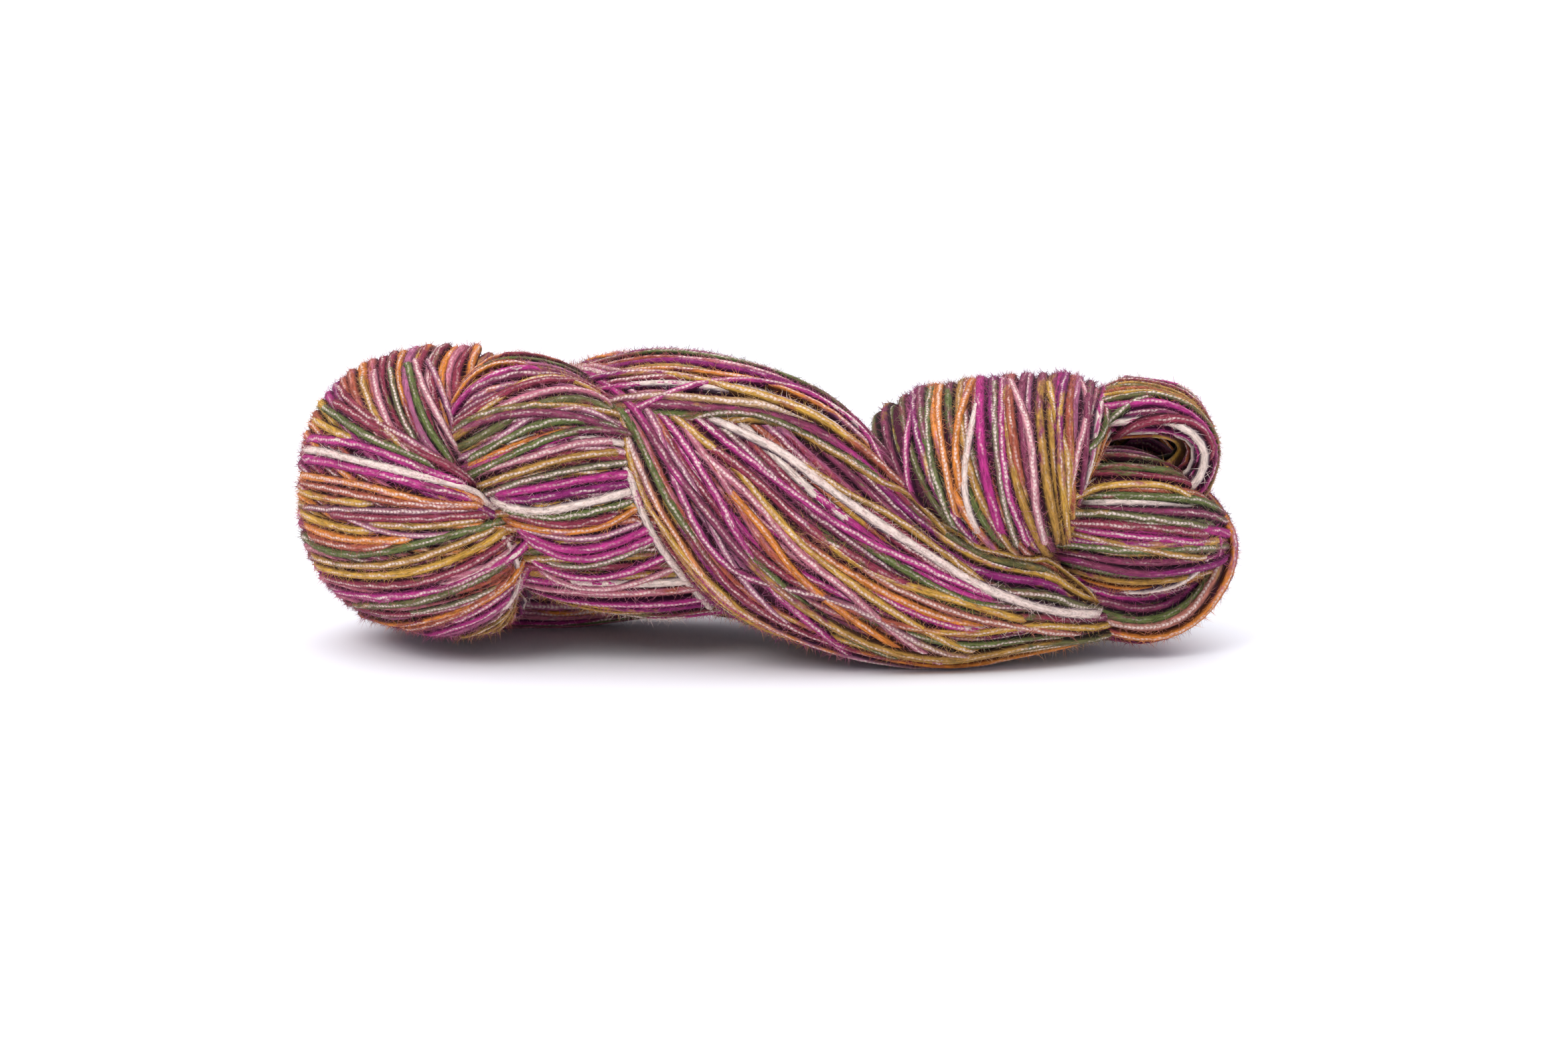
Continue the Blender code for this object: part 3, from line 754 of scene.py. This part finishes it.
ON_LEFT_LOOP = [
    Seen("cream", 1.0, 1.5, [(-133, 57), (-125, 56.5), (-117, 54), (-108, 52), (-98, 49),
                             (-88, 45.5), (-78, 41.5)]),
    Seen("plum", 0.95, 1.2, [(-134, 41), (-125, 40.3), (-112, 40), (-100, 39.5), (-88, 39.5),
                             (-76, 39)]),
    Seen("mauve", 0.9, 1.1, [(-121, 39), (-112, 35), (-104, 33), (-95, 32.8), (-85, 33.5)]),
    Seen("moss", 0.3, 1.5, [(-131, 32), (-124, 28.5), (-115, 27.5), (-105, 29), (-95, 31.5),
                            (-85, 34), (-75, 36)]),
    Seen("orange", 0.5, 1.6, [(-130, 35.5), (-122, 32.5), (-112, 31.3), (-102, 31.8)]),
    Seen("rose", 1.0, 1.3, [(-100, 80), (-98, 73), (-94, 65), (-90, 57), (-86.5, 50)]),
    Seen("mauve", 0.9, 1.1, [(-96, 80), (-93, 73), (-91, 66), (-89, 60), (-87, 53)]),
    Seen("moss", 0.1, 1.4, [(-102, 79), (-100, 70), (-97, 62), (-92, 54)]),
    Seen("olive", 0.85, 1.1, [(-107, 78), (-106, 72), (-104.5, 66), (-101, 60)]),
    Seen("burgundy", 0.2, 1.5, [(-121, 69), (-112, 63.5), (-104, 58.5), (-96, 54), (-88, 48),
                                (-81, 43.5)]),
    Seen("orange", 0.8, 1.4, [(-134, 50), (-125, 48.8), (-116, 47.5), (-108, 45.3), (-100, 43.2),
                              (-92, 41.2), (-83, 40.4)]),
    Seen("rose", 0.9, 1.3, [(-111.5, 77), (-110.5, 72), (-109, 67), (-106, 61), (-101, 55)]),
    Seen("ochre", 0.7, 1.4, [(-114.5, 75.5), (-113.5, 72), (-112, 68), (-109, 63.5), (-104, 58)]),
    Seen("burgundy", 0.6, 1.5, [(-121, 73.5), (-117, 69), (-111, 64.5), (-104, 60.5), (-97, 55.5),
                                (-90, 50.5), (-85, 46.5)]),
    Seen("moss", 0.5, 1.5, [(-125.5, 68.5), (-121, 66), (-115.5, 61.5), (-110, 58.8),
                            (-104, 56.5), (-97, 53)]),
    Seen("mustard", 0.5, 1.5, [(-128, 65), (-123.5, 62.5), (-118, 60)]),
    Seen("magenta", 0.5, 1.5, [(-131.5, 60), (-124, 59.5), (-116, 58.5), (-109, 56), (-102, 53),
                               (-95, 49.5), (-88, 46.5)]),
    Seen("magenta", 0.35, 1.6, [(-134, 54.5), (-126, 54), (-118, 51.8), (-110, 50.3),
                                (-103, 48.3), (-95, 45.6), (-87, 42.8)]),
    Seen("mustard", 0.4, 1.5, [(-133.5, 45.5), (-128, 44), (-122, 42.8), (-114, 41.8)]),
    Seen("rust", 0.7, 1.4, [(-132, 47.5), (-122, 45.8), (-113, 43.8), (-104, 42.2), (-95, 41),
                            (-86, 40.2)]),
    Seen("burgundy", 0.3, 1.5, [(-121, 38.6), (-112, 37.9), (-102, 37.6), (-92, 37.6),
                                (-82, 38)]),
    Seen("ochre", 0.7, 1.3, [(-110, 36), (-101, 35.5), (-92, 35.6), (-83, 36.8)]),
    Seen("mustard", 0.3, 1.5, [(-133, 39.5), (-127, 37), (-121, 35.3), (-114, 34)]),
    Seen("rust", 0.5, 1.5, [(-128, 32.5), (-121, 30), (-114, 29.3), (-107, 30)]),
    Seen("ochre", 0.75, 1.4, [(-129.5, 27.5), (-122, 25), (-113, 24.3), (-104, 25.2),
                              (-95, 27.6), (-86, 31), (-78, 34.5)]),
    Seen("mustard", 0.3, 1.5, [(-127, 24.5), (-119, 22.2), (-110, 21.7), (-101, 22.6),
                               (-92, 25), (-83, 29), (-76, 33)]),
    Seen("burgundy", 0.4, 1.5, [(-126, 21.5), (-116, 19.4), (-106, 19), (-96, 20.3), (-87, 23.4),
                                (-79, 28), (-74, 31.5)]),
    Seen("olive", 0.4, 1.6, [(-128, 17.5), (-120, 14.5), (-111, 13.8), (-101, 14.2), (-91, 16.8),
                             (-82, 20.8), (-75, 25)]),
    Seen("rose", 0.95, 1.2, [(-90, 19.5), (-83, 22.3), (-77, 26), (-72, 30)]),
    Seen("magenta", 0.9, 1.3, [(-87, 10), (-80, 13.6), (-74, 18.5), (-69, 24.5)]),
    Seen("ochre", 0.5, 1.3, [(-95, 3.2), (-86, 5.3), (-79, 8.3), (-74, 12)]),
    Seen("rust", 0.6, 1.4, [(-118, 9), (-108, 7.6), (-98, 7.8), (-89, 10.5), (-81, 15),
                            (-74, 20.5)]),
    Seen("magenta", 0.6, 1.5, [(-129, 20), (-118, 17), (-106, 16), (-94, 17.5), (-84, 21),
                               (-75, 25.5), (-69, 30)]),
    Seen("olive", 0.9, 1.1, [(-129, 17), (-121, 13), (-112, 11), (-100, 11.5), (-88, 14),
                             (-78, 18), (-70, 24)]),
    Seen("magenta", 0.5, 1.4, [(-122, 7), (-112, 4.5), (-100, 5), (-88, 8), (-79, 12),
                               (-72, 18), (-67, 25)]),
    Seen("cream", 1.0, 1.2, [(-75, 30), (-72.5, 26), (-71.5, 22), (-72.2, 17.5), (-75, 13)]),
]

ON_FRONT_PLY = [
    Seen("mauve", 0.85, 1.2, [(-87, 54.5), (-78, 58.5), (-70, 64.5), (-63, 67.5), (-55, 68.3),
                              (-48, 66), (-42, 62)]),
    Seen("burgundy", 0.2, 1.5, [(-87, 64.5), (-80, 69.5), (-71, 74), (-62, 75.8), (-54, 75),
                                (-47, 71.5)]),
    Seen("rose", 0.5, 1.5, [(-87.5, 61.5), (-80, 66), (-71, 70.7), (-62, 73), (-54, 73),
                            (-46.5, 70)]),
    Seen("olive", 0.1, 1.5, [(-86, 58), (-78, 62), (-70, 67.3), (-62, 70.3), (-54, 70.6),
                             (-46, 67.5)]),
    Seen("moss", 0.4, 1.5, [(-82, 55.5), (-74, 60), (-66, 63.7), (-57, 65.2), (-48, 64),
                            (-43, 62)]),
    Seen("rose", 0.9, 1.4, [(-82, 51), (-73, 53.5), (-64, 56), (-55, 58.6), (-46, 59)]),
    Seen("ochre", 0.5, 1.4, [(-80, 47.5), (-72, 50.3), (-63, 53.2), (-54, 55.3), (-44, 56)]),
    Seen("magenta", 0.3, 1.5, [(-74, 45), (-66, 46.2), (-57, 47.8), (-48, 49.3), (-41, 49.8)]),
    Seen("deep_magenta", 0.2, 1.5, [(-74, 43), (-66, 43.3), (-57, 44.9), (-48, 46.4),
                                    (-40, 47.2)]),
    Seen("moss", 0.7, 1.4, [(-72, 40), (-64, 37.8), (-56, 38.4), (-48, 40), (-40, 42)]),
    Seen("burgundy", 0.2, 1.5, [(-70, 38.3), (-62, 36), (-53, 36.2), (-45, 37.8)]),
    Seen("magenta", 0.3, 1.6, [(-67, 33), (-60, 29.6), (-52, 28.9), (-44, 30.5), (-34, 34.5)]),
    Seen("magenta", 0.5, 1.5, [(-65, 30.5), (-58, 26.8), (-50, 26.4), (-42, 28.5), (-33, 32)]),
    Seen("magenta", 0.7, 1.4, [(-63, 24.5), (-55, 21.6), (-47, 21.2), (-38, 23.3), (-29, 27)]),
    Seen("rose", 0.9, 1.3, [(-61, 21.8), (-54, 18.8), (-46, 18.2), (-38, 19.6), (-27, 23.5)]),
    Seen("orange", 0.3, 1.4, [(-83, 53), (-74, 57), (-66, 60), (-57, 62)]),
    Seen("magenta", 0.1, 1.5, [(-84, 52.5), (-74, 55.5), (-64, 58.5), (-54, 62), (-43, 62.5)]),
    Seen("cream", 0.7, 1.6, [(-75, 42), (-67, 39.5), (-59, 40.5), (-50, 42.5), (-40, 45)]),
    Seen("olive", 0.9, 1.2, [(-79, 44.5), (-72, 47.5), (-62, 50), (-52, 52), (-41, 53)]),
    Seen("orange", 0.5, 1.3, [(-70, 36), (-62, 34.3), (-54, 34), (-46, 35.5), (-38, 40)]),
    Seen("mauve", 0.9, 1.1, [(-68, 34.5), (-60, 32.5), (-52, 31.8), (-45, 33), (-37, 36)]),
    Seen("olive", 0.95, 1.2, [(-59, 25), (-52, 24), (-44, 26), (-33, 31)]),
    Seen("orange", 0.6, 1.3, [(-88, 70), (-84, 76), (-77, 80.5), (-70, 80.5)]),
    Seen("magenta", 0.2, 1.4, [(-89, 67), (-84, 73), (-76, 78), (-67, 79)]),
    Seen("mustard", 0.7, 1.3, [(-80, 68), (-70, 75), (-62, 77), (-54, 74.5), (-47, 70)]),
]

ON_MAIN_TWIST = [
    Seen("mustard", 0.6, 1.3, [(-41, 64), (-40, 54), (-36, 46), (-29, 37), (-21, 26), (-12, 17),
                               (-2, 9)]),
    Seen("cream", 1.0, 1.4, [(-39, 48), (-35, 37), (-29, 27), (-22, 19), (-13, 10.5), (-3, 5)]),
    Seen("mauve", 0.9, 1.2, [(-33, 65), (-26, 54), (-20, 45), (-15, 34), (-9, 24), (0, 13.5),
                             (10, 6)]),
    Seen("magenta", 0.8, 1.4, [(-30, 66), (-23, 57.5), (-17, 48), (-11, 38), (-5, 27), (2, 17.5),
                               (12, 9), (22, 2)]),
    Seen("mustard", 0.6, 1.4, [(-26, 65), (-18, 58.5), (-10, 52.5), (-3, 44), (4, 36), (12, 28),
                               (22, 20.5), (34, 12.5), (47, 5), (58, 0.5)]),
    Seen("magenta", 0.7, 1.4, [(-20, 65), (-12, 58.5), (-3, 52), (5, 46), (15, 39), (27, 31.5),
                               (40, 25.5), (52, 20), (63, 15.5)]),
    Seen("cream", 1.0, 1.6, [(-15, 65), (-6, 60.5), (2, 57), (8, 53), (15, 47.5), (24, 41),
                             (34, 34), (44, 28), (54, 21.5), (64, 16.5), (76, 12.5), (86, 10.5),
                             (94, 10)]),
    Seen("ochre", 0.5, 1.4, [(-12, 66), (0, 64.5), (8, 62), (16, 57), (25, 52), (33, 47.5),
                             (40, 43.5), (44, 39), (50, 33)]),
    Seen("ochre", 0.6, 1.3, [(12, 51), (22, 44.5), (33, 39), (42, 33), (50, 27), (60, 20)]),
    Seen("mustard", 0.7, 1.3, [(50, 34), (57, 31.5), (64, 30), (72, 28), (79, 24.5), (85, 20),
                               (92, 14)]),
    Seen("mustard", 0.3, 1.4, [(12, 35), (22, 27), (33, 20.5), (45, 17), (58, 13), (72, 9)]),
    Seen("rust", 0.9, 1.3, [(13, 33), (25, 25), (36, 18), (48, 13), (60, 9), (75, 6.5), (89, 5)]),
    Seen("rose", 0.7, 1.5, [(-17, 54), (-9, 47), (-1, 39.5), (5, 32), (12, 25), (22, 18),
                            (32, 9), (41, 3), (50, -3)]),
    Seen("orange", 0.3, 1.4, [(-9, 43), (0, 33), (8, 22), (18, 14), (30, 6), (42, -1)]),
    Seen("magenta", 0.5, 1.4, [(-11, 37), (-4, 26), (3, 17), (13, 8.5), (22, 1.5), (30, -3)]),
    Seen("moss", 0.2, 1.4, [(-6, 28), (4, 19), (14, 11), (25, 4), (37, -1)]),
    Seen("magenta", 0.8, 1.3, [(-42, 66), (-33, 70), (-24, 73.5), (-12, 75.5), (0, 75),
                               (10, 72.5), (20, 67), (27, 61), (32, 53)]),
    Seen("olive", 0.7, 1.3, [(-25, 66.5), (-14, 68), (-3, 67.5), (6, 65), (15, 60.5), (24, 55),
                             (32, 48.5)]),
    Seen("burgundy", 0.3, 1.6, [(-14, 55.5), (-6, 50), (1, 44), (8, 37.5), (17, 31), (28, 24.5),
                                (40, 18.5)]),
]

ON_RIGHT_END = [
    Seen("magenta", 0.1, 1.7, [(61.5, 76), (61.5, 65), (62, 55), (64, 45), (67, 35)]),
    Seen("magenta", 0.8, 1.3, [(68, 76), (67.5, 64), (68, 54), (69, 45), (72, 37), (74.5, 31)]),
    Seen("rose", 1.0, 1.5, [(70, 75), (74, 66), (76, 57), (76.5, 48), (77, 39), (79.5, 31)]),
    Seen("orange", 0.85, 1.3, [(50.5, 76), (49.5, 66), (51, 57), (52.5, 49), (54.5, 40)]),
    Seen("orange", 0.6, 1.5, [(60, 77), (56, 66), (54.5, 57), (55.5, 48)]),
    Seen("moss", 0.85, 1.4, [(48, 75), (46.5, 64), (47.5, 55), (50, 46), (54, 36)]),
    Seen("cream", 0.9, 1.3, [(60.5, 68), (58, 57), (57, 49), (57.5, 42), (61, 34)]),
    Seen("olive", 0.95, 1.2, [(65.5, 77), (65.5, 68), (66, 58), (67, 49), (68.5, 40), (71.5, 31)]),
    Seen("mustard", 0.7, 1.4, [(81, 74), (83, 64), (85.5, 55), (86, 48), (84.5, 38)]),
    Seen("rose", 0.9, 1.3, [(85, 79), (89, 76), (92, 70), (90, 62), (88, 55), (86, 45)]),
    Seen("magenta", 0.85, 1.3, [(44.5, 73), (41.5, 63), (41, 55), (42, 46)]),
    Seen("olive", 0.7, 1.5, [(87, 39.5), (97, 38.9), (107, 37.8), (117, 36.4), (125, 34.8)]),
    Seen("burgundy", 0.4, 1.6, [(87, 37), (97, 36), (107, 35.2), (117, 34.2), (125, 33)]),
    Seen("cream", 0.9, 1.3, [(88, 21), (96, 18.5), (104, 18), (112, 18.5), (119, 20.5),
                             (125, 25.5)]),
    Seen("magenta", 0.6, 1.3, [(91, 17), (99, 14), (107, 13.2), (115, 14.5), (122, 18),
                               (127, 24), (129, 31)]),
    Seen("mustard", 0.5, 1.3, [(87, 43.5), (95, 46), (104, 46.5), (113, 46.5), (120, 43.5)]),
    Seen("magenta", 0.7, 1.3, [(87, 35.5), (97, 33.5), (106, 32.5), (116, 31.5), (125, 30.5)]),
    Seen("ochre", 0.8, 1.2, [(87, 34), (96, 31.5), (106, 29.5), (116, 27.5), (125, 26.5)]),
    Seen("mustard", 0.1, 1.6, [(103, 60), (110, 63.5), (116, 63), (121, 60.5), (122.5, 56),
                               (119, 52.5), (112, 50.5)]),
    Seen("burgundy", 0.1, 1.6, [(99, 62), (108, 66), (117, 66), (124, 63), (127, 57)]),
    Seen("moss", 0.85, 1.3, [(98, 65), (106, 70), (113, 71), (121, 68)]),
    Seen("moss", 0.6, 1.4, [(104, 77), (98, 71), (96.5, 65), (93, 58)]),
]


def blended(values, sections):
    """Values smoothed along a strand over so many sections to each side, ends kept."""
    reach = np.arange(-3 * sections, 3 * sections + 1)
    share = np.exp(-0.5 * (reach / sections) ** 2)
    share /= share.sum()
    padded = np.pad(values, ((3 * sections, 3 * sections), (0, 0)), mode="edge")
    return np.stack([np.convolve(padded[:, axis], share, "valid") for axis in range(3)], axis=1)


def lay_charted(seen, beneath, rng):
    """A charted strand, laid on the surface beneath where its path is seen from the camera."""
    way = Vector((0.0, -cos(CAMERA_RISE), sin(CAMERA_RISE)))
    up = Vector((0.0, sin(CAMERA_RISE), cos(CAMERA_RISE)))
    eye = CAMERA_AIM + way * CAMERA_DISTANCE
    places = []
    outward = []
    for before, start, end, after in spans(np.array(seen.path, dtype=float)):
        count = max(round(np.linalg.norm(end - start) / CHART_STEP), 1)
        for share in np.arange(count) / count:
            across, rise = on_curve(before, start, end, after, share)
            target = CAMERA_AIM + up * (rise - AIM_UP) * MM
            target.x += (across - AIM_ACROSS) * MM
            hit, normal, _, _ = beneath.ray_cast(eye, target - eye)
            if hit is not None:
                places.append(hit / MM)
                outward.append(normal)
    for _ in range(2):
        places.reverse()
        outward.reverse()
        for _ in range(WALK):
            ahead = (places[-1] - places[-2]).normalized() * CHART_STEP
            hit, normal, _, _ = beneath.find_nearest((places[-1] + ahead) * MM)
            places.append(hit / MM)
            outward.append(normal)
    outward = blended(np.array(outward), SMOOTHING)
    outward /= np.linalg.norm(outward, axis=1)[:, None]
    from_end = np.minimum(np.arange(len(places)), np.arange(len(places))[::-1]) * CHART_STEP
    rise = RISE - DIVE * (1 - smooth_step(from_end, 0.0, DIVE_LENGTH))
    places = blended(np.array(places), SMOOTHING) + outward * rise[:, None]
    places[:, 2] = np.maximum(places[:, 2], seen.radius)
    along = np.arange(len(places)) * CHART_STEP
    own = (DYE_ORDER.index(seen.dye) + 0.5) / len(DYE_ORDER)
    dye = own + CHARTED_DRIFT / len(DYE_ORDER) * wander(rng, along, 1, *CHARTED_LENGTHS)
    thickness = seen.radius * (1 + SWELLING * wander(rng, along, 1, *SWELL_LENGTHS))
    pale = np.full_like(dye, CHARTED_PALE * seen.pale)
    return Strands(places[:, None] * MM, outward[:, None], thickness * MM, dye, pale)


surface_beneath = BVHTree.FromPolygons(inside_places, inside_faces)
charts = {"left_loop": ON_LEFT_LOOP, "front_ply": ON_FRONT_PLY,
          "main_twist": ON_MAIN_TWIST, "right_end": ON_RIGHT_END}
for seed, (name, chart) in enumerate(charts.items(), start=41):
    rng = np.random.default_rng(seed)
    guides = strand_guides(name, [lay_charted(seen, surface_beneath, rng) for seen in chart])
    piece = grow(name + "_charted_strands", guides, SWEEP,
                 {"Step": CHARTED_STEP, "Sides": CHARTED_SIDES, "Material": YARN})
    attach(piece, "root")
    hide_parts("hank")
    YARN_PIECES.append(piece)


# The fuzz: fibre ends that stand out of the strands by a millimetre or two, lying mostly along
# them. They soften every edge and take the shine off the dye.

FIBRE_LENGTH = (1.2, 3.8)   # mm
FIBRE_RADIUS = 0.072        # mm, at its root: several times a real fibre's, which wouldn't show
FIBRE_DENSITY = 0.44e6      # to a square metre of the side of a strand that faces out
FUZZ_LAYERS = 2             # pieces of fuzz to a piece of strands, so that none is too large
FIRST_SEED = 71
FIBRE_LIE = 1.6             # most that a fibre leans along its strand, either way
FIBRE_STAND = 0.55          # how much it stands straight up, beside that
FIBRE_SPLAY = 0.75          # most that it turns in any other way
FACES_OUT = 0.15            # cosine, fibres grow where a strand's side turns out this much
CLEAR_OF_ROOT = 0.5         # mm above a root, where the look for yarn over it starts
BURIED_WITHIN = 25.0        # mm, a place with yarn this close in front of it grows none
TABLE_CLEARANCE = 4.0       # mm, no fibre grows lower than this


def build_fuzz_tree():
    """Thin closed spikes on the outward side of every strand that is open to the air."""
    tree, given = start_tree("Fuzz", {"Strands": "Geometry", "Inside": "Object",
                                      "Density": "Float", "Seed": "Int",
                                      "Material": "Material"}, "Fibres")
    normal = add_node(tree, "GeometryNodeInputNormal")
    outward = add_node(tree, "GeometryNodeInputNamedAttribute", {"Name": "outward"},
                       data_type="FLOAT_VECTOR")
    facing = add_node(tree, "ShaderNodeVectorMath",
                      {0: normal.outputs["Normal"], 1: outward.outputs["Attribute"]},
                      operation="DOT_PRODUCT")
    faces_out = add_node(tree, "FunctionNodeCompare", data_type="FLOAT",
                         operation="GREATER_THAN",
                         inputs={0: facing.outputs["Value"], 1: FACES_OUT})
    inside = add_node(tree, "GeometryNodeObjectInfo", {"Object": given.outputs["Inside"]})
    place = add_node(tree, "GeometryNodeInputPosition")
    clear = add_node(tree, "ShaderNodeVectorMath",
                     {0: outward.outputs["Attribute"], 1: (CLEAR_OF_ROOT * MM,) * 3,
                      2: place.outputs["Position"]}, operation="MULTIPLY_ADD")
    cover = add_node(tree, "GeometryNodeRaycast",
                     {"Target Geometry": inside.outputs["Geometry"],
                      "Source Position": clear.outputs["Vector"],
                      "Ray Direction": outward.outputs["Attribute"],
                      "Ray Length": BURIED_WITHIN * MM})
    open_air = add_node(tree, "FunctionNodeBooleanMath",
                        {0: faces_out.outputs["Result"], 1: cover.outputs["Is Hit"]},
                        operation="NIMPLY")
    height = add_node(tree, "ShaderNodeSeparateXYZ", {"Vector": place.outputs["Position"]})
    off_table = add_node(tree, "FunctionNodeCompare", data_type="FLOAT",
                         operation="GREATER_THAN",
                         inputs={0: height.outputs["Z"], 1: TABLE_CLEARANCE * MM})
    grows = add_node(tree, "FunctionNodeBooleanMath",
                     {0: open_air.outputs["Boolean"], 1: off_table.outputs["Result"]},
                     operation="AND")
    roots = add_node(tree, "GeometryNodeDistributePointsOnFaces",
                     {"Mesh": given.outputs["Strands"],
                      "Selection": grows.outputs["Boolean"],
                      "Density": given.outputs["Density"], "Seed": given.outputs["Seed"]})
    way = add_node(tree, "GeometryNodeInputNamedAttribute", {"Name": "way"},
                   data_type="FLOAT_VECTOR")
    along = add_node(tree, "FunctionNodeRandomValue", data_type="FLOAT",
                     inputs={2: -FIBRE_LIE, 3: FIBRE_LIE, "Seed": 1})
    way_part = add_node(tree, "ShaderNodeVectorMath",
                        {0: way.outputs["Attribute"], "Scale": along.outputs[1]},
                        operation="SCALE")
    splay = add_node(tree, "FunctionNodeRandomValue", data_type="FLOAT_VECTOR",
                     inputs={0: (-FIBRE_SPLAY,) * 3, 1: (FIBRE_SPLAY,) * 3, "Seed": 2})
    leaning = add_node(tree, "ShaderNodeVectorMath",
                       {0: way_part.outputs["Vector"], 1: splay.outputs[0]}, operation="ADD")
    stands = add_node(tree, "ShaderNodeVectorMath",
                      {0: roots.outputs["Normal"], 1: (FIBRE_STAND,) * 3,
                       2: leaning.outputs["Vector"]}, operation="MULTIPLY_ADD")
    turned = add_node(tree, "FunctionNodeAlignRotationToVector", axis="Z",
                      inputs={"Vector": stands.outputs["Vector"]})
    length = add_node(tree, "FunctionNodeRandomValue", data_type="FLOAT",
                      inputs={2: FIBRE_LENGTH[0], 3: FIBRE_LENGTH[1], "Seed": 3})
    size = add_node(tree, "ShaderNodeCombineXYZ", {"X": 1.0, "Y": 1.0,
                                                   "Z": length.outputs[1]})
    spike = add_node(tree, "GeometryNodeMeshCone",
                     {"Vertices": 3, "Radius Top": 0.0, "Radius Bottom": FIBRE_RADIUS * MM,
                      "Depth": MM}, fill_type="NGON")
    fibres = add_node(tree, "GeometryNodeInstanceOnPoints",
                      {"Points": roots.outputs["Points"], "Instance": spike.outputs["Mesh"],
                       "Rotation": turned.outputs["Rotation"],
                       "Scale": size.outputs["Vector"]})
    end_tree(tree, fibres.outputs["Instances"], given.outputs["Material"], "Fibres")
    return tree


def loose_fibre():
    """Single fibres of the same dyes, paler than the strand because light goes round them."""
    material, tree, shader = start_material("Loose fibre", 0.8, 0.1)
    pale = add_node(tree, "ShaderNodeAttribute", attribute_name="pale")
    thin = add_node(tree, "ShaderNodeMapRange", {"Value": pale.outputs["Fac"], "To Min": 0.08,
                                                 "To Max": 0.28})
    lit = add_node(tree, "ShaderNodeMix", data_type="RGBA",
                   inputs={0: thin.outputs["Result"], 6: dye_colour(tree, 0.0),
                           7: linear("#C9A4A8")})
    tree.links.new(lit.outputs[2], shader.inputs["Base Color"])
    return material


FUZZ = build_fuzz_tree()
FIBRE = loose_fibre()
for number, strands in enumerate(YARN_PIECES * FUZZ_LAYERS):
    layer = 1 + number // len(YARN_PIECES)
    piece = grow(strands.name.replace("strands", f"fuzz_{layer}"), strands.data.copy(), FUZZ,
                 {"Inside": packed_inside, "Density": FIBRE_DENSITY,
                  "Seed": FIRST_SEED + number, "Material": FIBRE})
    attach(piece, "root")
    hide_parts("hank")


# The studio: a white table under wide soft light from above, and the camera a little above
# the hank, where the photograph was taken from.

TABLE_SIZE = 14.0        # m, wider than the picture
CARD_GRAIN = 0.67        # mm, from one bump of the card to the next


def white_card():
    """A sheet of smooth white card: matt, with a grain too fine and shallow to stand out."""
    material, tree, shader = start_material("White card", 0.9, 0.5)
    place = add_node(tree, "ShaderNodeTexCoord")
    grain = add_node(tree, "ShaderNodeTexNoise",
                     {"Vector": place.outputs["Object"], "Scale": 1 / (CARD_GRAIN * MM),
                      "Detail": 2.0})
    bump = add_node(tree, "ShaderNodeBump", {"Strength": 0.03, "Distance": 0.1 * MM,
                                             "Height": grain.outputs["Fac"]})
    tree.links.new(bump.outputs["Normal"], shader.inputs["Normal"])
    shader.inputs["Base Color"].default_value = linear("#F4F4F6")
    return material


bpy.ops.mesh.primitive_plane_add(size=TABLE_SIZE)
floor = bpy.context.object
floor.name = "floor"
floor.data.materials.append(white_card())


def soft_light(name, place, aim, size, power):
    """A square light at a place, in metres, that points at its aim."""
    light = bpy.data.lights.new(name, "AREA")
    light.shape = "SQUARE"
    light.size = size
    light.energy = power
    lamp = bpy.data.objects.new(name, light)
    lamp.location = place
    lamp.rotation_euler = (Vector(aim) - Vector(place)).to_track_quat("-Z", "Y").to_euler()
    bpy.context.scene.collection.objects.link(lamp)


soft_light("overhead", (0.0, 0.4, 3.0), (0.0, 0.4, 0.0), 7.0, 205.0)
soft_light("front_left", (-0.7, -1.0, 1.1), (0.0, 0.0, 0.04), 0.8, 9.0)

world = bpy.data.worlds.new("Studio")
world.use_nodes = True
walls = world.node_tree.nodes["Background"]
walls.inputs["Color"].default_value = linear("#ECF0FF")
walls.inputs["Strength"].default_value = 0.65
bpy.context.scene.world = world
bpy.context.scene.view_settings.view_transform = "Standard"

camera_data = bpy.data.cameras.new("camera")
camera_data.sensor_width = 36.0
camera_data.lens = 85.0
camera_data.clip_start = 0.05
camera_data.clip_end = 20.0
camera = bpy.data.objects.new("camera", camera_data)
camera_way = Vector((0.0, -cos(CAMERA_RISE), sin(CAMERA_RISE)))
camera.location = CAMERA_AIM + camera_way * CAMERA_DISTANCE
camera.rotation_euler = (-camera_way).to_track_quat("-Z", "Y").to_euler()
bpy.context.scene.collection.objects.link(camera)
bpy.context.scene.camera = camera
